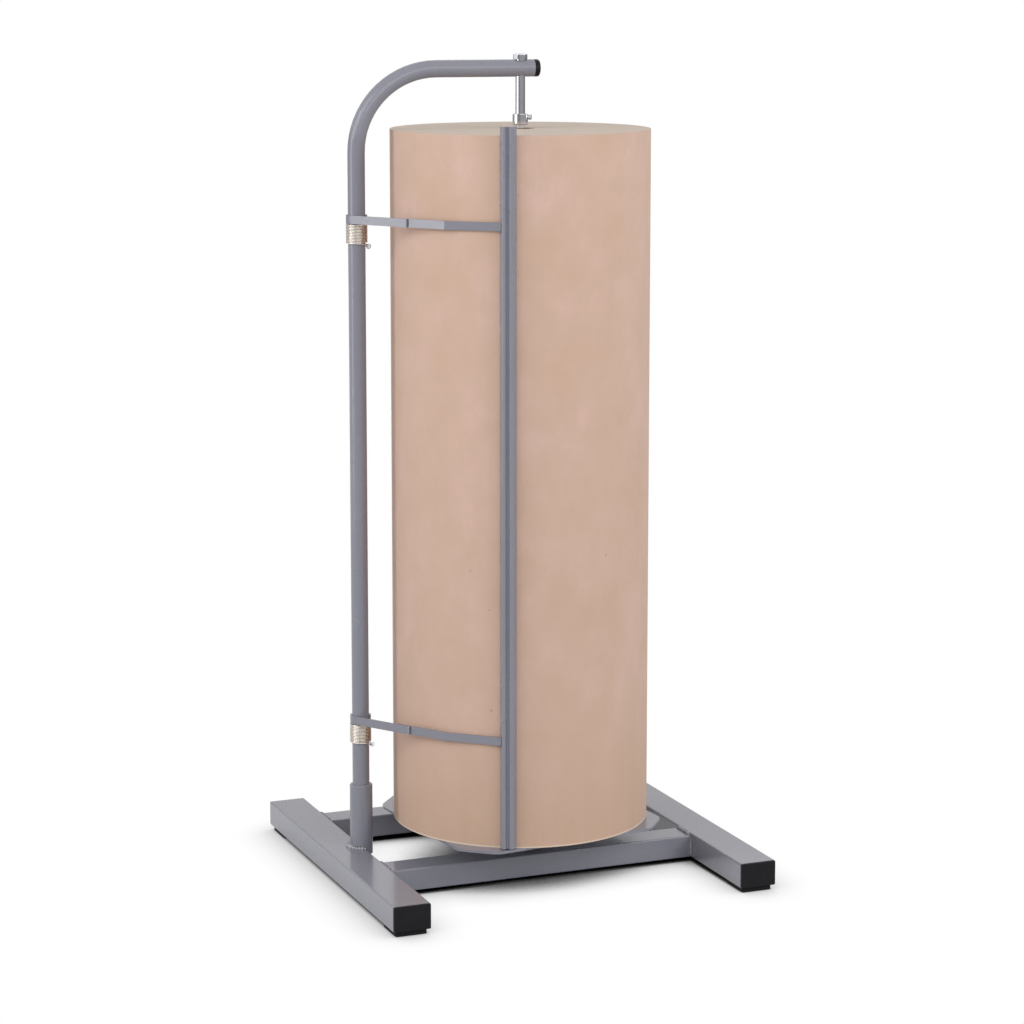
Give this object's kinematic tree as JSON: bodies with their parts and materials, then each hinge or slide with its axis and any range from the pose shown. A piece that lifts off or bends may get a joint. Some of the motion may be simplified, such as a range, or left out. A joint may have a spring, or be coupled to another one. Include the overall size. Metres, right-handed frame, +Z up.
{
  "type": "paper roll rack",
  "caption": "Floor-standing rack for an upright paper roll: turntable on a tube base, post with overhead spindle, and a sprung swing arm that holds a tear bar on the roll.",
  "frame": {"origin": "centre of the base's footprint, on the floor", "axes": "+Z up, -Y to the front where the tear bar lies, +X to the right, post on the left"},
  "size_m": [0.637, 0.616, 1.3011],
  "materials": {
    "grey_paint": "silver grey, satin gloss",
    "black_plastic": "black, satin",
    "black_rubber": "black rubber",
    "plated": "bright plated",
    "steel": "zinc plated",
    "spring_steel": "pale plated wire",
    "kraft_paper": "brown kraft, matt",
    "core_board": "grey-brown board"
  },
  "bodies": {
    "frame": {"left_rail": "grey_paint", "right_rail": "grey_paint", "front_cross_rail": "grey_paint", "rear_cross_rail": "grey_paint", "centre_beam": "grey_paint", "rail_end_plugs": "black_plastic", "feet": "black_rubber", "foot_screws": "steel", "post_socket": "grey_paint", "socket_lock_screw": "steel", "post": "grey_paint", "post_end_plug": "black_plastic", "pivot_pedestal": "grey_paint", "pedestal_bolts": "steel", "pivot_retaining_ring": "steel", "bearing_lower_race": "steel", "bearing_ball_ring": "steel", "spring_anchor_screws": "plated", "upper_spring": "spring_steel", "lower_spring": "spring_steel"},
    "turntable": {"bearing_upper_race": "steel", "turntable_hub": "grey_paint", "turntable_plate": "grey_paint", "plate_screws": "steel", "roll_core": "core_board", "paper_roll": "kraft_paper"},
    "swing": {"upper_arm": "grey_paint", "lower_arm": "grey_paint", "upper_arm_tip": "grey_paint", "lower_arm_tip": "grey_paint", "tear_bar": "grey_paint"},
    "spindle": {"spindle_rod": "plated", "spindle_head": "plated", "spindle_collar": "plated", "collar_screw": "plated"}
  },
  "joints": [
    {"name": "turntable_spin", "type": "hinge", "parent": "frame", "child": "turntable", "pos_m": [0, -0.025, 0.07], "axis": [0, 0, 1], "continuous": true},
    {"name": "swing_arm_hinge", "type": "hinge", "parent": "frame", "child": "swing", "pos_m": [-0.2595, 0.008, 0.65], "axis": [0, 0, -1], "range_deg": [0, 110], "stiffness_Nm_per_rad": 1.2, "springref_deg": -34.38, "deforming": ["upper_spring", "lower_spring"]},
    {"name": "spindle_lift", "type": "slide", "parent": "frame", "child": "spindle", "axis": [0, 0, 1], "range_m": [0, 0.057]}
  ]
}
